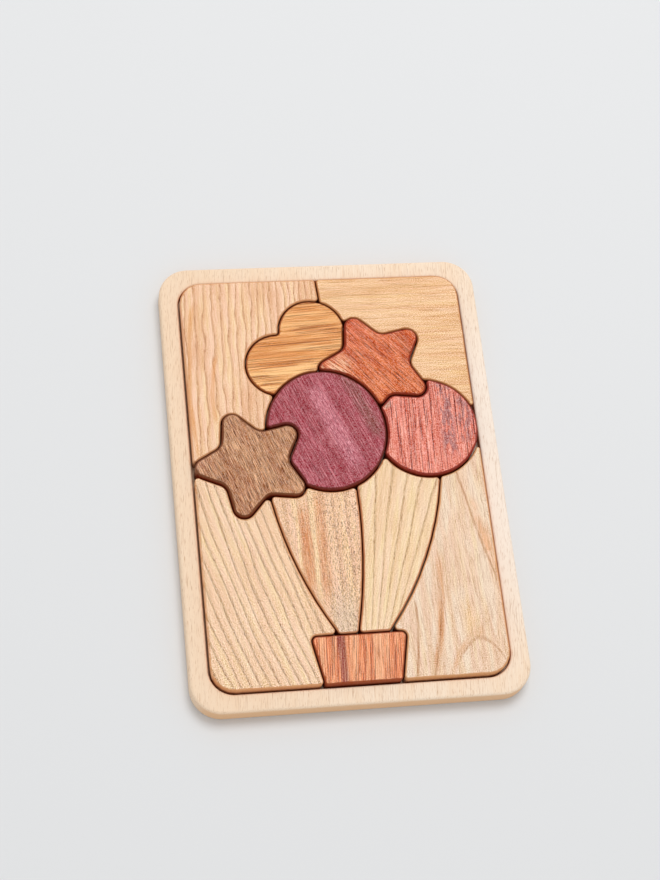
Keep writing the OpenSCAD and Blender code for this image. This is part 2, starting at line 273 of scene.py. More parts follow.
def rounded_ring(width, length, corner, level):
    """A rounded rectangle: each corner's centre plus its quarter circle, at one height."""
    turn = np.linspace(0, np.pi / 2, CORNER_STEPS)
    turn = (turn + np.arange(4)[:, None] * np.pi / 2).reshape(-1)
    side = np.repeat([[1, 1], [-1, 1], [-1, -1], [1, -1]], CORNER_STEPS, axis=0)
    middle = side * (np.array([width, length]) / 2 - corner)
    arc = corner * np.stack([np.cos(turn), np.sin(turn)], axis=-1)
    return np.column_stack([middle + arc, np.full(len(turn), level)])


def outer_ring(inset, level):
    """The tray's outline, moved in."""
    return rounded_ring(tray_width - 2 * inset, tray_length - 2 * inset, TRAY_CORNER - inset, level)


def recess_ring(outset, level):
    """The recess's outline, moved out."""
    width, length = recess_width + 2 * outset, RECESS_LENGTH + 2 * outset
    return rounded_ring(width, length, RECESS_CORNER + outset, level)


print(f"tray {tray_width:.1f} by {tray_length:.1f} mm, rails {rail:.1f} mm wide")

# %% [markdown]
# The frame's rings run up the outside, over the face and down into the recess, and close there.
# The base's rings run from its rounded back to the glue line, a thin groove between the boards.

# %% Tray boards
FACE_ROUND = 1.4
LIP_ROUND = 1.0
BACK_ROUND = 1.0
GLUE_LINE = 0.12


def edge_rings(ring, radius, level, upward=1):
    """The rings of a rounded edge, from the wall to the face at the level."""
    return [ring(radius * i, level - upward * radius * (1 - u)) for i, u in zip(round_in, round_up)]


frame_rings = [outer_ring(GLUE_LINE, frame_low.z), outer_ring(0, frame_low.z + GLUE_LINE)]
frame_rings += edge_rings(outer_ring, FACE_ROUND, frame_high.z)
frame_rings += edge_rings(recess_ring, LIP_ROUND, frame_high.z)[::-1]
frame_rings += [recess_ring(0, frame_low.z)]
tray_frame = ringed_mesh("tray_frame_wood", np.array(frame_rings), hollow=True)

base_rings = edge_rings(outer_ring, BACK_ROUND, base_low.z, upward=-1)[::-1]
base_rings += [outer_ring(0, base_high.z - GLUE_LINE), outer_ring(GLUE_LINE, base_high.z)]
tray_base = ringed_mesh("tray_base_wood", np.array(base_rings))

for board, node in ((tray_frame, "tray_frame"), (tray_base, "tray_base")):
    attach(board, "tray")
    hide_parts(node)
    pieces[node] = board
    print(f"{node}: {len(board.data.polygons)} faces")

# %% [markdown]
# ## Writing wood as formulas
#
# Every wood here is a pattern in three dimensions, so the figure of the face runs on down the
# sawn sides, as it does in a real board. Node by node such a pattern is long to write. It is made
# of sums and products of a few values, and the class below lets it be written as such: each
# operation adds its Math node.


# %% Values of a wood
class Figure:
    """One value in a material's node tree. Arithmetic with it adds Math nodes."""

    def __init__(self, tree, socket=None):
        self.tree = tree
        self.socket = socket

    def node(self, kind, settings, inputs, output=0):
        """Any node: its type, its settings, then values or links for its sockets."""
        made = self.tree.nodes.new(kind)
        for name, value in settings.items():
            setattr(made, name, value)
        for name, value in inputs.items():
            if isinstance(value, Figure):
                self.tree.links.new(value.socket, made.inputs[name])
            else:
                made.inputs[name].default_value = value
        return Figure(self.tree, made.outputs[output]) if made.outputs else None

    def math(self, operation, first, second=0.0):
        """One Math node, of one or two values."""
        return self.node("ShaderNodeMath", {"operation": operation}, {0: first, 1: second})

    def __add__(self, other):
        return self.math("ADD", self, other)

    def __radd__(self, other):
        return self.math("ADD", other, self)

    def __sub__(self, other):
        return self.math("SUBTRACT", self, other)

    def __rsub__(self, other):
        return self.math("SUBTRACT", other, self)

    def __mul__(self, other):
        return self.math("MULTIPLY", self, other)

    def __rmul__(self, other):
        return self.math("MULTIPLY", other, self)

    def __truediv__(self, other):
        return self.math("DIVIDE", self, other)

    def __abs__(self):
        return self.math("ABSOLUTE", self)


# %% [markdown]
# A few shapes of a value come back in every wood: a soft step, a streak and a stretch. Colours
# can't go through a Math node, which would turn them grey, so they are laid over each other with
# Mix nodes, as coats of stain are. A coat is written as how much it covers, and its colour.


# %% Steps, streaks and stains
def rise(value, low, high):
    """0 up to low and 1 from high on, with a smooth step between; falls where low is above high."""
    limits = {0: value, 1: low, 2: high}
    return value.node("ShaderNodeMapRange", {"interpolation_type": "SMOOTHSTEP"}, limits)


def streak(off, half, soft):
    """1 up to half from the middle of a streak, fading out over soft. Off is the distance from it."""
    return 1 - rise(abs(off), half, half + soft)


def span(value, low, high, soft):
    """1 between low and high, fading out over soft beyond them."""
    return rise(value, low - soft, low) * (1 - rise(value, high, high + soft))


def squared(value):
    """A value times itself."""
    return value * value


def stain(red, green, blue):
    """A colour as it is read off a screen, 0 to 255, turned to light by the sRGB curve."""
    screen = np.array([red, green, blue]) / 255
    light = np.where(screen <= 0.04045, screen / 12.92, ((screen + 0.055) / 1.055) ** 2.4)
    return (*light.tolist(), 1.0)


def tint(amount, under, over):
    """The colour under, going over to the colour over where the amount nears 1."""
    return amount.node("ShaderNodeMix", {"data_type": "RGBA"}, {0: amount, 6: under, 7: over}, 2)


def coats(colour, *layers):
    """Lays colours over a first one: each layer is how much of it covers, and its colour."""
    for amount, over in layers:
        colour = tint(amount, colour, stain(*over))
    return colour


# %% [markdown]
# ## Grain
#
# Wood is drawn out along its grain. A noise that is stretched many times longer than wide gives
# fibres, and the same noise with only its peaks kept gives pores and flecks. Yearly rings are a
# saw-tooth across the grain: a dark line of pores that fades into the paler wood of the summer.
# A Wave texture could draw rings too, but its lines are alike on both sides. A call of these
# functions gives the turn of the grain in degrees, the length and the width of a lump, and a seed,
# which picks another stretch of the noise.

# %% Grain
SEED_STEP = (61.0, 37.0, 13.0)
FLECK_EDGE = 0.12
OILED = "_oiled"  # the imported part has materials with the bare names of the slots


def empty_tree(owner):
    """Clears the nodes of a material or world, and gives a start to write new ones from."""
    owner.use_nodes = True
    owner.node_tree.nodes.clear()
    return Figure(owner.node_tree)


def wood_place(slot):
    """A new material for a slot, and the place on the piece as a vector in millimetres."""
    metres = empty_tree(bpy.data.materials.new(slot + OILED)).node("ShaderNodeTexCoord", {}, {}, "Object")
    scaled = {0: metres, "Scale": METRE}
    return metres.node("ShaderNodeVectorMath", {"operation": "SCALE"}, scaled, "Vector")


def turned(place, turn, scale=(1, 1, 1), seed=0):
    """The place in the grain's own axes: x along the grain, which is turned from +X by degrees."""
    shift = [step * seed for step in SEED_STEP]
    axes = {"Vector": place, "Location": shift, "Rotation": (0, 0, radians(turn)), "Scale": scale}
    return place.node("ShaderNodeMapping", {"vector_type": "TEXTURE"}, axes)


def axes_of(place, wanted):
    """The wanted coordinates of a place, such as XY."""
    return [place.node("ShaderNodeSeparateXYZ", {}, {0: place}, axis) for axis in wanted]


def fibres(place, turn, length, width, seed, detail=2.0):
    """Noise in lumps of length by width millimetres along the grain, around one half."""
    drawn = turned(place, turn, (length, width, width), seed)
    return place.node("ShaderNodeTexNoise", {}, {"Vector": drawn, "Scale": 1.0, "Detail": detail})


def flecks(place, turn, length, width, seed, share=0.6):
    """Pores and flecks: the peaks of the fibres, above the share."""
    return rise(fibres(place, turn, length, width, seed), share, share + FLECK_EDGE)


def stray(place, turn, length, width, seed, reach):
    """How far a ring strays sideways: fibres around zero, times the reach."""
    return (fibres(place, turn, length, width, seed) - 0.5) * reach


def rings(phase, early, late):
    """Yearly rings: in each unit of the phase, a line that rises by early and fades by late."""
    part = phase.math("FRACT", phase)
    return rise(part, 0.0, early) * (1 - rise(part, early, late))


# %% [markdown]
# ## Sawn sides
#
# The blade has heated the sides, so the colour goes over to a burnt brown right below the face,
# and further down to a dark brown that is soot and painted shade together. The sides could have a
# material of their own, but then the burnt edge would follow the mesh as a hard line. Here it follows the
# depth below the face: a noise moves it up and down, and the blade has left fine upright marks in the
# wall.

# %% Sawn sides
SPECK = 0.34
# soot and painted shade: the dark red-brown of a narrow cut in shade
SOOT_AND_SHADE = (114, 31, 5)
BLADE_MARK = (176, 104, 60)
BLADE_SIZE = (0.35, 0.35, 5.0)
STAIN_LUMP = 1.6
STAIN_SWING = 0.6
STAIN_FULL = 0.11
SOOT_AND_SHADE_FROM = 0.2
SOOT_AND_SHADE_FULL = 1.3
STAIN_COVER = 0.9
# how much less stain the left sides get, as painted light
LEFT_PAINTED_LIGHT = 0.4
SOOT_AND_SHADE_COVER = 0.92
BLADE_COVER = 0.15
OPEN_SIDE = 2.0
OPEN_FADE = 0.5
OPEN_WALL = 1.6
OPEN_SOOT_AND_SHADE = 0.35
LEFT_WALL = -58.0
RIGHT_WALL = 57.6
# where the upper right side gets the painted shade of a cut
RIGHT_SHADE_FROM = -4.0
RIGHT_SHADE_FULL = 8.0


def speckled(place, colour, amount):
    """Lightens and darkens a colour in the tiny specks of opened pores, by the amount."""
    specks = fibres(place, 0, SPECK, SPECK, 8, 0.0)
    settings = {"data_type": "RGBA", "blend_type": "LINEAR_LIGHT"}
    return place.node("ShaderNodeMix", settings, {0: amount, 6: colour, 7: specks}, 2)


def recess_reach(x, y):
    """How far a place lies from the middles of the recess's corners: RECESS_CORNER at its wall."""
    over_x = x.math("MAXIMUM", abs(x) - (recess_width / 2 - RECESS_CORNER), 0.0)
    over_y = y.math("MAXIMUM", abs(y) - (RECESS_LENGTH / 2 - RECESS_CORNER), 0.0)
    return x.math("SQRT", squared(over_x) + squared(over_y))


def sawn_sides(place, node, colour, relief, scorched, specks):
    """The face's colour and relief, going over to the saw's stain and marks on the sides.

    The stain starts at the edge of the face. Soot and painted shade follow right below it in a cut
    between two pieces. A side that faces the wall of the recess has less of them, and further down,
    but for the upper part of the right side, which keeps the painted shade of a cut. The left side
    of the puzzle has less stain, as painted light.
    """
    x, y, z = axes_of(place, "XYZ")
    uneven = fibres(place, 0, STAIN_LUMP, STAIN_LUMP, 7, 1.0) * STAIN_SWING + (1 - STAIN_SWING / 2)
    depth = (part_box(node)[1].z * METRE - z) * uneven
    near_wall = RECESS_CORNER - OPEN_SIDE
    # painted shade: the upper part of the right side is darkened as a cut between pieces is
    shaded_right_side = rise(x, RIGHT_WALL, RIGHT_WALL + 0.4) * rise(y, RIGHT_SHADE_FROM, RIGHT_SHADE_FULL)
    open_side = rise(recess_reach(x, y), near_wall, near_wall + OPEN_FADE) * (1 - shaded_right_side)
    # painted light: the sides at the left of the puzzle are paler
    painted_light_left_side = rise(x, LEFT_WALL, LEFT_WALL - 1)
    stained = rise(depth, 0.0, STAIN_FULL)
    soot_and_shade_depth = (depth - open_side * OPEN_WALL) / (1 + open_side)
    soot_and_shade = rise(soot_and_shade_depth, SOOT_AND_SHADE_FROM, SOOT_AND_SHADE_FULL) * (1 - open_side * (1 - OPEN_SOOT_AND_SHADE))
    upright = {"Vector": turned(place, 0, BLADE_SIZE), "Scale": 1.0}
    marks = place.node("ShaderNodeTexNoise", {}, upright)
    # the third coat is soot and painted shade, darkest deep in the cuts between pieces
    colour = coats(
        speckled(place, colour, specks),
        (stained * (STAIN_COVER - painted_light_left_side * LEFT_PAINTED_LIGHT), scorched),
        (soot_and_shade * SOOT_AND_SHADE_COVER, SOOT_AND_SHADE),
        (stained * rise(marks, 0.5, 0.62) * BLADE_COVER, BLADE_MARK),
    )
    return colour, relief + (marks - relief) * stained


# %% [markdown]
# ## Oil
#
# The finish is the same for all pieces: sanded and oiled, not lacquered. A coat on the shader
# would shine like varnish, so there is none. The fibres stand up a little as a bump, and the
# pores are rougher than the wood between them.

# %% Oil
GRAIN_RELIEF = 0.07
RELIEF_STRENGTH = 0.45
OIL_ROUGHNESS = 0.62
PORE_ROUGHNESS = 0.25
OIL_SHINE = 0.08


def oiled(slot, place, colour, relief):
    """An oiled wood: its colour, a fine relief along the grain, and a dull gloss."""
    bump = {"Strength": RELIEF_STRENGTH, "Distance": GRAIN_RELIEF / METRE, "Height": relief}
    inputs = {
        "Base Color": colour,
        "Roughness": OIL_ROUGHNESS - (relief - 0.5) * PORE_ROUGHNESS,
        "Specular IOR Level": OIL_SHINE,
        "Normal": place.node("ShaderNodeBump", {}, bump),
    }
    shader = place.node("ShaderNodeBsdfPrincipled", {}, inputs)
    place.node("ShaderNodeOutputMaterial", {}, {"Surface": shader})
    return bpy.data.materials[slot + OILED]


def dress(node, slot, material):
    """Puts a wood on its piece and prints the slot of the record that it stands for."""
    pieces[node].data.materials.append(material)
    print(f"{node}: {slot}, {len(material.node_tree.nodes)} nodes")


def sawn_wood(node, slot, face):
    """Dresses a sawn piece: the figure of its face, then the sawn sides, then the oil.

    Face is a function of the place. It gives the face's colour and relief, the colour of its
    scorched edge, and how speckled the wood is.
    """
    place = wood_place(slot)
    colour, relief, scorched, specks = face(place)
    colour, relief = sawn_sides(place, node, colour, relief, scorched, specks)
    dress(node, slot, oiled(slot, place, colour, relief))


# %% [markdown]
# ## The tray's beech
#
# Beech is pale and even. Its mark is the short dark fleck along the grain, which here runs
# along the tray on all four rails, since the frame is cut from one board. So the two ends show
# end grain, which drinks more oil and is darker. The left rail is a little tanner as painted shade, and
# the right one paler as painted light, and inside the recess the wood is scorched, as the sides of the
# pieces are. Each rail could have a material of its own, but one that goes by the place on the tray has
# no joints.

# %% Beech of the tray
FACE_LEVEL = frame_high.z
FLOOR_LEVEL = frame_low.z
END_REACH = tray_length / 2


def tray_beech(slot):
    """Fibres and two lengths of fleck, and over them each part of the tray by its place."""
    place = wood_place(slot)
    x, y, z = axes_of(place, "XYZ")
    grain = 86
    fine = fibres(place, grain, 10, 0.3, 1)
    broad = fibres(place, grain, 60, 8, 2)
    short = flecks(place, grain, 3.0, 0.26, 3, 0.58)
    long = flecks(place, grain, 9.0, 0.3, 4, 0.6)
    inside = rise(recess_reach(x, y), RECESS_CORNER + 0.3, RECESS_CORNER + 0.1)
    below_face = rise(z, FACE_LEVEL - 0.2, FACE_LEVEL - 0.6)
    scorched = inside * below_face * rise(z, FLOOR_LEVEL - 0.1, FLOOR_LEVEL + 0.3)
    on_side = rise(z, FACE_LEVEL - 0.2, FACE_LEVEL - 1.2) * rise(z, 0.1, 0.8)
    end_grain = rise(abs(y), END_REACH - 6, END_REACH - 0.5) * on_side
    painted_light_right = rise(x, 15, 62) * rise(abs(y), 100, 25)
    colour = coats(
        stain(247, 224, 199),
        (rise(broad, 0.42, 0.6) * 0.6, (246, 217, 186)),
        (rise(fine, 0.45, 0.6) * 0.35, (253, 236, 216)),
        (rise(fine, 0.5, 0.36) * 0.22, (234, 202, 170)),
        # painted shade towards the left rail and painted light towards the right one
        (rise(x, 20, -60) * 0.65, (242, 213, 182)),
        (painted_light_right * 0.85, (249, 234, 220)),
        (short * 0.55, (196, 150, 110)),
        (long * 0.55, (184, 136, 96)),
        (end_grain * 0.75, (238, 188, 138)),
        (scorched * 0.75, (206, 122, 62)),
    )
    return oiled(slot, place, colour, fine - short * 0.3)


beech = tray_beech("tray_beech")
for board in tray_nodes:
    dress(board, "tray_beech", beech)

# %% [markdown]
# ## The sky, in four pieces of ash
#
# Ash is pale, with rings of large pores. Each piece was cut from the board in another
# direction, and that is what tells the four apart. A picture of a board could be laid on each,
# but it would end at the edge of the face. So all four share the recipe below, and each brings its
# own phase: how many rings lie between a place and the middle of the tray.

# %% Ash
ASH_SPECKS = 0.34
EARLY = 0.1
PALE_FIBRE = (255, 238, 214)


def ash(place, turn, phase, seed, ground, warm, line, late=0.34, depth=0.7):
    """Pale ash: soft bands, yellow and pink, rings along the phase broken into pores, fine fibres."""
    fine = fibres(place, turn, 9, 0.3, seed)
    broad = fibres(place, turn, 45, 6, seed + 1)
    dots = flecks(place, turn, 1.7, 0.28, seed + 2, 0.48)
    hue = fibres(place, turn, 26, 2.2, seed + 3)
    ring = rings(phase, EARLY, late)
    red, green, blue = ground
    colour = coats(
        stain(*ground),
        (rise(hue, 0.5, 0.6) * 0.6, (red - 2, green + 1, blue - 14)),
        (rise(hue, 0.5, 0.4) * 0.6, (red, green - 5, blue + 3)),
        (rise(broad, 0.42, 0.6) * 0.6, warm),
        (rings(phase, EARLY, 0.95) * 0.6, warm),
        (rise(fine, 0.48, 0.64) * 0.15, line),
        (rise(fine, 0.5, 0.36) * 0.25, PALE_FIBRE),
        (ring * (0.35 + dots * 0.65) * depth, line),
        (dots * 0.1, line),
    )
    return colour, fine - ring * dots * 0.5


def torn(place, turn, length, width, seed, low, high, least):
    """Breaks a streak up along the fibres: least in their hollows, 1 on their peaks."""
    return rise(fibres(place, turn, length, width, seed), low, high) * (1 - least) + least


# %% [markdown]
# ### Upper left
#
# The rings stand upright and waver, and they lie closer together towards the right: the square in
# the phase does that. Two thin orange streaks near the left side are bowed. A noise wouldn't put
# them in their places, so each is the distance from a parabola.


# %% Upper left sky
def ash_striped(place):
    """Upright wavy rings, closer to the right, and two thin orange streaks on the left."""
    x, y = axes_of(place, "XY")
    grain = 90
    wander = stray(place, grain, 15, 6, 11, 4.0)
    off = x - y * 0.035 + wander
    phase = off * 0.4525 + squared(off) * 0.00175
    shades = (250, 212, 177), (230, 177, 136), (186, 124, 82)
    colour, relief = ash(place, grain, phase, 12, *shades, late=0.36, depth=0.85)
    long = x + 57.8 - squared(y - 34) * 0.002 + wander * 0.3
    short = x + 48.9 - squared(y - 32) * 0.006 + wander * 0.3
    streaks = streak(long, 0.2, 1.1) * span(y, 12, 74, 6) + streak(short, 0.2, 1.1) * span(y, 28, 50, 6)
    broken = torn(place, grain, 16, 0.7, 16, low=0.42, high=0.58, least=0.6)
    colour = coats(colour, (streaks * broken * 0.7, (226, 158, 98)))
    return colour, relief, (214, 150, 100), ASH_SPECKS


sawn_wood("sky_top_left", "ash_striped", ash_striped)

# %% [markdown]
# ### Upper right
#
# A golden board with level rings. They show only as faint bands, and long thin lines carry the
# picture: the peaks of a noise that is fifty times longer than wide.


# %% Upper right sky
def ash_golden(place):
    """Level rings and long thin lines on a golden ground."""
    (y,) = axes_of(place, "Y")
    grain = 0
    phase = (y + stray(place, grain, 45, 5, 21, 4.0)) / 3.6
    shades = (246, 203, 159), (239, 189, 141), (196, 138, 90)
    colour, relief = ash(place, grain, phase, 22, *shades, late=0.3, depth=0.5)
    lines = flecks(place, grain, 14, 0.27, 25, 0.55)
    broad = fibres(place, grain, 34, 5, 27)
    colour = coats(
        colour,
        (rise(broad, 0.48, 0.58) * 0.4, (252, 213, 170)),
        (rise(broad, 0.46, 0.38) * 0.4, (232, 182, 136)),
        (lines * 0.55, (184, 124, 74)),
    )
    return colour, relief - lines * 0.3, (200, 132, 80), ASH_SPECKS * 1.4


sawn_wood("sky_top_right", "ash_golden", ash_golden)

# %% [markdown]
# ### Lower left
#
# The clearest rings of the four. They slant down to the right and bend a little, so the phase
# takes a share of y and a small share of its square.


# %% Lower left sky
def ash_cream(place):
    """Rings that slant down to the right and bend a little."""
    x, y = axes_of(place, "XY")
    grain = -72
    wander = stray(place, grain, 30, 6, 31, 3.6)
    phase = (x + y * 0.22 - squared(y) * 0.001 + wander) / 3.75
    shades = (250, 217, 183), (243, 202, 164), (154, 110, 72)
    colour, relief = ash(place, grain, phase, 32, *shades, late=0.4, depth=0.85)
    return colour, relief, (222, 158, 108), ASH_SPECKS * 2.1


sawn_wood("sky_bottom_left", "ash_cream", ash_cream)

# %% [markdown]
# ### Lower right
#
# This board was cut along the side of the tree. Its rings are wide and faint, and its figure is a
# few long streaks, the edge of one wide ring down the right side, and an arch at the foot. None of
# them comes twice, so each is written as the distance from its own bowed line.


# %% Lower right sky
def ash_pink(place):
    """Wavy upright streaks, the edge of a wide ring down the right, and an arch at the foot."""
    x, y = axes_of(place, "XY")
    grain = 90
    wander = stray(place, grain, 22, 7, 41, 6.0)
    shades = (245, 217, 189), (240, 205, 175), (206, 158, 120)
    colour, relief = ash(place, grain, (x + wander) / 5.2, 42, *shades, late=0.6, depth=0.2)
    broken = torn(place, grain, 14, 0.6, 46, low=0.4, high=0.6, least=0.5)
    lumps = torn(place, grain, 9, 4, 48, low=0.4, high=0.58, least=0.4)
    threads = flecks(place, 91, 6, 0.26, 47, 0.52)
    pale = rise(fibres(place, 92, 40, 5, 45), 0.46, 0.58)
    main = x - 35.3 + squared(y + 38) * 0.003 + wander * 0.2
    side = x - 23.8 + squared(y + 62) * 0.005 + wander * 0.2
    down = -3 - y
    ring_edge = x - 47.5 - down * 0.19 - squared(down) * 0.0008 + wander * 0.2
    arch = y + 73.5 + squared(x - 47.5) / 9.5 + wander * 0.5
    colour = coats(
        colour,
        (pale * 0.6, (245, 226, 204)),
        (streak(x - 45, 0.5, 5.0) * span(y, -70, -60, 6) * lumps * 0.6, (240, 198, 150)),
        (streak(main, 0.5, 1.6) * span(y, -78, -46, 12) * broken * 0.85, (218, 154, 104)),
        (streak(main, 0.1, 0.5) * span(y, -86, -56, 8) * broken * 0.85, (184, 128, 84)),
        (streak(side, 0.1, 0.7) * span(y, -86, -60, 5) * broken * 0.85, (190, 136, 94)),
        (streak(ring_edge - 1.8, 0.2, 3.2) * span(y, -50, -22, 12) * lumps * 0.9, (238, 186, 144)),
        (streak(ring_edge, 0.1, 0.7) * span(y, -46, -2, 6) * broken * 0.8, (194, 140, 98)),
        (streak(arch - 2.2, 0.4, 3.0) * span(x, 36, 47, 4) * lumps * 0.8, (228, 180, 140)),
        (streak(arch, 0.2, 1.1) * span(x, 40, 56, 3) * broken * 0.65, (194, 144, 104)),
        (threads * 0.55, (194, 144, 106)),
    )
    return colour, relief, (218, 158, 106), ASH_SPECKS * 1.3


sawn_wood("sky_bottom_right", "ash_pink", ash_pink)

# %% [markdown]
# ## The balloons
#
# Five coloured woods, none of them painted: a golden one for the heart, orange-red and brown for
# the stars, purple for the oval and a pink-red one for the disc. They differ as much by their
# pores as by their colour, so each gets its own lengths of fibre and fleck. What they share is
# how a noise becomes broad bands, dark lines and pale lines, and these limits come first.
#
# ### Heart
#
# Golden wood with nearly level lines. The dark ones gather in groups, which one noise can't do, so
# a coarser noise says where the fine one shows.

# %% Heart
DARK_SPECKS = 0.16
BAND = (0.43, 0.58)
DARK_LINE = (0.48, 0.62)
PALE_LINE = (0.48, 0.36)


def teak_golden(place):
    """Golden wood with nearly level lines, the dark ones in groups."""
    (y,) = axes_of(place, "Y")
    grain = 3.5
    bands = fibres(place, grain, 34, 3.0, 51, 3.0)
    lines = fibres(place, grain, 22, 0.34, 52)
    shade = rise(fibres(place, grain, 30, 3.5, 55), 0.5, 0.6)
    grouped = rise(fibres(place, grain, 18, 4, 54), 0.42, 0.54)
    colour = coats(
        stain(231, 157, 94),
        (rise(bands, 0.44, 0.58), (254, 200, 139)),
        (shade * 0.35, (212, 140, 82)),
        (rise(y, 50, 72) * 0.3, (218, 148, 90)),
        (rise(lines, 0.5, 0.64) * 0.5, (190, 114, 58)),
        (rise(lines, *PALE_LINE) * 0.45, (255, 208, 152)),
        (flecks(place, grain, 26, 0.34, 53, 0.5) * grouped * 0.72, (142, 76, 32)),
    )
    return colour, lines, (160, 84, 46), DARK_SPECKS * 1.8


sawn_wood("heart_balloon", "teak_golden", teak_golden)

# %% [markdown]
# ### Orange star
#
# Orange-red wood whose lines slant down to the right. It is pinker in the upper point, and pale
# stripes run into the left one, so those coats are limited by x and y.


# %% Orange star
def padauk_orange(place):
    """Orange-red wood with slanting lines, and pale stripes in the left point of the star."""
    x, y = axes_of(place, "XY")
    grain = -50
    bands = fibres(place, grain, 30, 3.0, 61, 3.0)
    lines = fibres(place, grain, 11, 0.26, 62)
    pale = flecks(place, -41, 8, 0.4, 64, 0.47) * rise(x, 12, 5) * rise(y, 54, 48)
    colour = coats(
        stain(218, 114, 74),
        (rise(bands, *BAND) * 0.8, (236, 144, 106)),
        (rise(y - x, 36, 56) * 0.4, (230, 122, 100)),
        (rise(y, 56, 36) * 0.35, (230, 138, 88)),
        (rise(lines, *DARK_LINE) * 0.55, (172, 66, 36)),
        (rise(lines, *PALE_LINE) * 0.55, (250, 172, 132)),
        (flecks(place, grain, 9, 0.25, 63, 0.52) * 0.9, (112, 38, 20)),
        (pale * 0.85, (248, 200, 164)),
    )
    return colour, lines, (134, 40, 24), DARK_SPECKS * 1.5


sawn_wood("orange_star_balloon", "padauk_orange", padauk_orange)

# %% [markdown]
# ### Brown star
#
# This wood shows no lines, only countless short dashes, dark and pale. They are thinner than a
# pixel of the picture, so that they blend instead of clumping.


# %% Brown star
def walnut(place):
    """Brown wood with short dark and pale dashes, a little lighter towards the right."""
    x, y = axes_of(place, "XY")
    grain = -70
    bands = fibres(place, grain, 26, 4, 71)
    dark = flecks(place, grain, 5.2, 0.16, 72, 0.48)
    light = flecks(place, grain, 5.6, 0.16, 73, 0.48)
    colour = coats(
        stain(186, 125, 92),
        (rise(bands, 0.42, 0.58), (206, 152, 116)),
        (rise(x, -48, -58) * 0.4, (196, 136, 118)),
        (rise(x + y, -12, 14) * 0.4, (210, 158, 118)),
        (light * 0.9, (248, 198, 156)),
        (dark * 0.85, (78, 36, 20)),
    )
    return colour, light - dark * 0.5 + 0.4, (106, 58, 34), DARK_SPECKS


sawn_wood("walnut_star_balloon", "walnut", walnut)

# %% [markdown]
# ### Oval
#
# Purple wood. A bright pink band and a dull brown one run along the grain, so they are written in
# the grain's own axes, where a band is a plain stretch.


# %% Oval
def purpleheart(place):
    """Purple wood: a bright pink band and a dull brown one run along the grain."""
    grain = -67
    along, across = axes_of(turned(place, grain), "XY")
    bands = fibres(place, grain, 40, 3.5, 81, 3.0)
    lines = fibres(place, grain, 5, 0.26, 82)
    bright = streak(across - 7.5, 1.4, 4.0) * span(along, -32, -4, 9)
    dull = streak(across - 22.3, 1.2, 3.0) * span(along, -36, -10, 6)
    threads = flecks(place, grain, 18, 0.26, 84, 0.54) * (0.6 + rise(across, 2, -8) * 0.4)
    colour = coats(
        stain(163, 77, 84),
        (rise(bands, *BAND) * 0.7, (186, 99, 108)),
        (bright * 0.4, (204, 124, 136)),
        (dull * 0.9, (140, 90, 82)),
        (rise(lines, *DARK_LINE) * 0.7, (130, 52, 62)),
        (rise(lines, *PALE_LINE) * 0.55, (212, 134, 144)),
        (flecks(place, grain, 2.2, 0.26, 83, 0.47) * bright * 0.8, (236, 162, 172)),
        (flecks(place, grain, 9, 0.22, 85, 0.54) * 0.7, (222, 146, 152)),
        (threads * 0.75, (98, 32, 40)),
    )
    return colour, lines, (102, 38, 32), DARK_SPECKS


sawn_wood("purple_oval_balloon", "purpleheart", purpleheart)

# %% [markdown]
# ### Disc
#
# Pink-red wood with long dark pores that stand upright. Mauve patches lie in two stripes on the
# right, and a small grey patch sits at the left tip: a stripe, a stretch and a circle say where.


# %% Disc
def redwood(place):
    """Pink-red wood with long dark upright pores, mauve patches on the right, and a grey tip."""
    x, y = axes_of(place, "XY")
    grain = 88.5
    bands = fibres(place, grain, 36, 2.6, 91, 3.0)
    lines = fibres(place, grain, 10, 0.3, 92)
    pores = flecks(place, grain, 18, 0.34, 93, 0.54)
    patchy = rise(fibres(place, grain, 4, 1.1, 94, 3.0), 0.43, 0.57)
    mauve = streak(x - 46.5, 1.5, 2.8) * span(y, 8, 38, 6)
    mauve = mauve + streak(x - 54, 1.5, 2.8) * span(y, 13, 28, 5)
    tip = rise(squared(x - 22) + squared(y - 28.5), 8.0, 1.0)
    colour = coats(
        stain(230, 136, 118),
        (rise(bands, *BAND) * 0.85, (246, 156, 138)),
        (rise(lines, *PALE_LINE) * 0.5, (255, 196, 176)),
        (rise(lines, 0.5, 0.64) * 0.5, (186, 84, 72)),
        (mauve * patchy * 0.75, (170, 122, 122)),
        (tip * 0.6, (188, 160, 140)),
        (pores * 0.95, (108, 28, 24)),
    )
    return colour, lines - pores * 0.4, (132, 32, 26), DARK_SPECKS * 1.8


sawn_wood("red_round_balloon", "redwood", redwood)

# %% [markdown]
# ## The ribbons and the basket
#
# Two panels of ash stand between the balloons and the basket. The left one has two warm bands of
# heartwood with cream between them. They are streaks along x, limited by how far down they reach,
# over the same ash as in the sky.


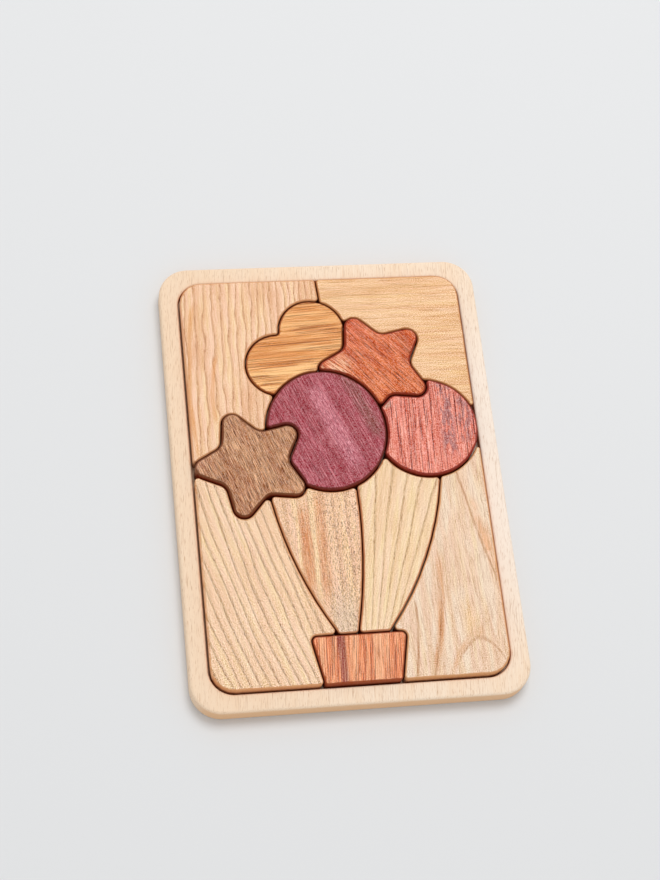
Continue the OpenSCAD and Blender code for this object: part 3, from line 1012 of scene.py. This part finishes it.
# %% Left ribbon panel
def ash_peach(place):
    """Two warm bands of heartwood with cream between them, pores on the right, a grey foot."""
    x, y = axes_of(place, "XY")
    grain = 92
    down = -1 * y
    wander = stray(place, grain, 30, 4, 101, 4.0)
    shades = (250, 211, 176), (242, 199, 162), (174, 122, 86)
    colour, relief = ash(place, grain, (x + wander) / 5.0, 102, *shades, late=0.4, depth=0.45)
    dots = flecks(place, grain, 1.3, 0.27, 105, 0.53)
    frayed = rise(fibres(place, grain, 12, 0.6, 106), 0.42, 0.58)
    off = x + wander * 0.4
    heart = streak(off + 17.0, 0.8, 3.4) * span(down, 20, 44, 10)
    heart = heart + streak(off + 10.6, 0.6, 3.2) * span(down, 16, 46, 12) * 0.75
    cream = streak(off + 13.5, 0.4, 1.2) * span(down, 8, 50, 6)
    cream = cream + streak(off + 19.8, 0.2, 0.9) * span(down, 14, 40, 6)
    colour = coats(
        colour,
        (heart * (0.4 + frayed * 0.6) * 0.95, (220, 148, 96)),
        (cream * (1 - frayed * 0.5) * 0.8, (253, 224, 180)),
        (streak(x + 4.5, 3.0, 3.5) * rise(down, 44, 62) * 0.5, (220, 200, 178)),
        (dots * (0.55 + rise(x, -11, -6) * 0.25), (138, 90, 62)),
    )
    return colour, relief, (206, 138, 92), ASH_SPECKS * 1.8


sawn_wood("left_ribbon_panel", "ash_peach", ash_peach)

# %% [markdown]
# The rings of the right panel open upwards like a fan. All lines of a fan meet in one point, so
# the phase is the slope of the line from that point, below the basket, to the place.


# %% Right ribbon panel
def ash_yellow(place):
    """Rings that open upwards like a fan."""
    x, y = axes_of(place, "XY")
    grain = 76
    fan = (x - 0.5) / (y + 101) / 0.066 + stray(place, grain, 30, 6, 111, 0.5)
    shades = (249, 219, 182), (242, 204, 162), (170, 126, 84)
    colour, relief = ash(place, grain, fan, 112, *shades, late=0.3, depth=0.85)
    return colour, relief, (200, 126, 84), ASH_SPECKS * 1.2


sawn_wood("right_ribbon_panel", "ash_yellow", ash_yellow)

# %% [markdown]
# The basket is red, with upright stripes from pale to dark and one purple streak. It could be
# woven, as a real basket is, but here the stripes of the wood alone stand for the weave.


# %% Basket
def cedar_red(place):
    """Red wood with upright stripes and one purple streak."""
    (x,) = axes_of(place, "X")
    grain = 86
    bands = fibres(place, grain, 60, 2.2, 121, 3.0)
    lines = fibres(place, grain, 16, 0.28, 122)
    purple = streak(x + 7.5 + (lines - 0.5) * 3, 0.7, 1.6)
    colour = coats(
        stain(242, 150, 103),
        (rise(bands, *BAND) * 0.9, (253, 188, 144)),
        (purple * 0.9, (146, 66, 64)),
        (streak(x - 8, 2.0, 3.0) * 0.35, (250, 192, 150)),
        (rise(lines, *DARK_LINE) * 0.55, (172, 82, 50)),
        (rise(lines, *PALE_LINE) * 0.55, (255, 206, 168)),
        (flecks(place, grain, 10, 0.27, 123, 0.52) * 0.7, (124, 48, 28)),
    )
    return colour, lines, (152, 68, 38), DARK_SPECKS * 2.2


sawn_wood("basket", "cedar_red", cedar_red)

# %% [markdown]
# ## The floor
#
# A product picture like this stands on a plain pale sweep. A curved backdrop could make it, but
# it would stand in the way of other views. The floor here is flat and pale grey, and far from the
# tray it goes over to the colour of the room as the camera sees it, so that no horizon shows.

# %% Floor
FLOOR_GAP = 0.1
FLOOR_SIZE = 40000.0
FLOOR_NEAR = 400.0
FLOOR_FAR = 1800.0
FLOOR_GREY = stain(226, 227, 228)
FLOOR_ROUGHNESS = 0.9
ROOM_SEEN = 0.8
WHITE = (1.0, 1.0, 1.0, 1.0)


def seen_as_it_is(start):
    """1 for a ray from the camera or off a shiny or clear surface, and 0 for one that lights."""
    kinds = ("Is Camera Ray", "Is Glossy Ray", "Is Transmission Ray")
    eye, shine, through = [start.node("ShaderNodeLightPath", {}, {}, kind) for kind in kinds]
    return start.math("MAXIMUM", eye, start.math("MAXIMUM", shine, through))


floor_paint = bpy.data.materials.new("floor_grey")
start = empty_tree(floor_paint)
spot = start.node("ShaderNodeTexCoord", {}, {}, "Object")
reach = start.node("ShaderNodeVectorMath", {"operation": "LENGTH"}, {0: spot}, "Value")
far = rise(reach, FLOOR_NEAR / METRE, FLOOR_FAR / METRE) * seen_as_it_is(start)
grey = {"Base Color": FLOOR_GREY, "Roughness": FLOOR_ROUGHNESS}
paint = start.node("ShaderNodeBsdfPrincipled", {}, grey)
glow = start.node("ShaderNodeEmission", {}, {"Color": WHITE, "Strength": ROOM_SEEN})
both = start.node("ShaderNodeMixShader", {}, {0: far, 1: paint, 2: glow})
start.node("ShaderNodeOutputMaterial", {}, {"Surface": both})

half = FLOOR_SIZE / 2
floor_corners = np.array([[-half, -half], [half, -half], [half, half], [-half, half]])
floor_corners = np.column_stack([floor_corners, np.full(4, -FLOOR_GAP)]) / METRE
floor_mesh = bpy.data.meshes.new("floor")
floor_mesh.from_pydata(floor_corners.tolist(), [], [[0, 1, 2, 3]])
floor_mesh.materials.append(floor_paint)
floor = new_object("floor", floor_mesh)
print(f"floor {FLOOR_SIZE / METRE:.0f} m wide")

# %% [markdown]
# ## The light
#
# One large soft lamp and a bright room. The lamp stands to the back and above, so the shadow
# falls to the front, and the room lifts the rest. Both together are about the light at which a
# colour renders as it is written. More light would whiten the floor too, but it would bleach the
# ash, so only the room that the camera sees is made brighter.

# %% Light
ROOM_LIGHT = 0.66
LAMP_PLACE = Vector((240.0, 640.0, 1710.0)) / METRE
LAMP_SIZE = 900.0
LAMP_POWER = 14.4

room = bpy.data.worlds.new("room")
start = empty_tree(room)
strength = ROOM_LIGHT + seen_as_it_is(start) * (ROOM_SEEN - ROOM_LIGHT)
light = start.node("ShaderNodeBackground", {}, {"Strength": strength, "Color": WHITE})
start.node("ShaderNodeOutputWorld", {}, {"Surface": light})
bpy.context.scene.world = room

lamp = new_object("lamp", bpy.data.lights.new("lamp", "AREA"))
lamp.data.energy = LAMP_POWER
lamp.data.size = LAMP_SIZE / METRE
lamp.location = LAMP_PLACE
lamp.rotation_mode = "QUATERNION"
lamp.rotation_quaternion = (-LAMP_PLACE).to_track_quat("-Z", "Y")
bpy.context.scene.view_settings.view_transform = "Standard"
print(f"room at {ROOM_LIGHT}, lamp of {LAMP_POWER} W")
